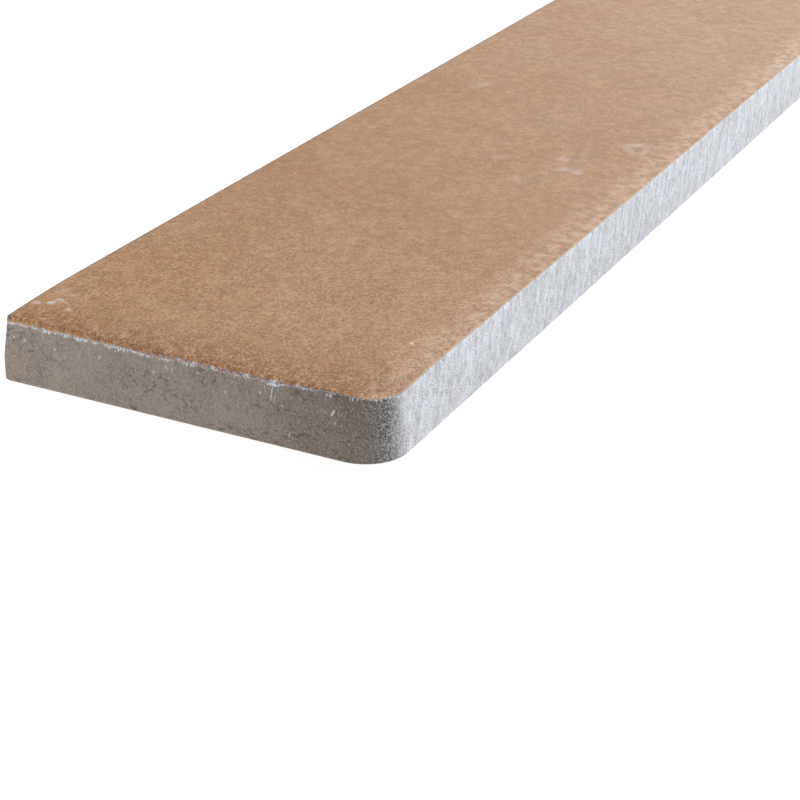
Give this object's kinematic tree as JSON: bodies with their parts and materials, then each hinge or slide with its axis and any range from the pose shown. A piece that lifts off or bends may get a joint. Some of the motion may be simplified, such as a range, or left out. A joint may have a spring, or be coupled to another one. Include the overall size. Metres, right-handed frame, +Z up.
{
  "type": "glazed porcelain tile",
  "caption": "Slim plank tile of pressed porcelain: matte brown glazed face with a cushioned edge, bare grey body at the sides, two rounded corners, one long side cut straight, pocketed underside.",
  "frame": {"origin": "middle of the underside, on the plane that the tile rests on", "axes": "+X along the length, +Y across the width towards the side that is cut straight, +Z up out of the glazed face"},
  "size_m": [0.25, 0.0488, 0.0081],
  "materials": {
    "glazed_porcelain": "matte mottled brown glaze on the face, bare grey fired body on the sides and underside"
  },
  "bodies": {
    "root": {"tile": "glazed_porcelain"}
  },
  "joints": []
}
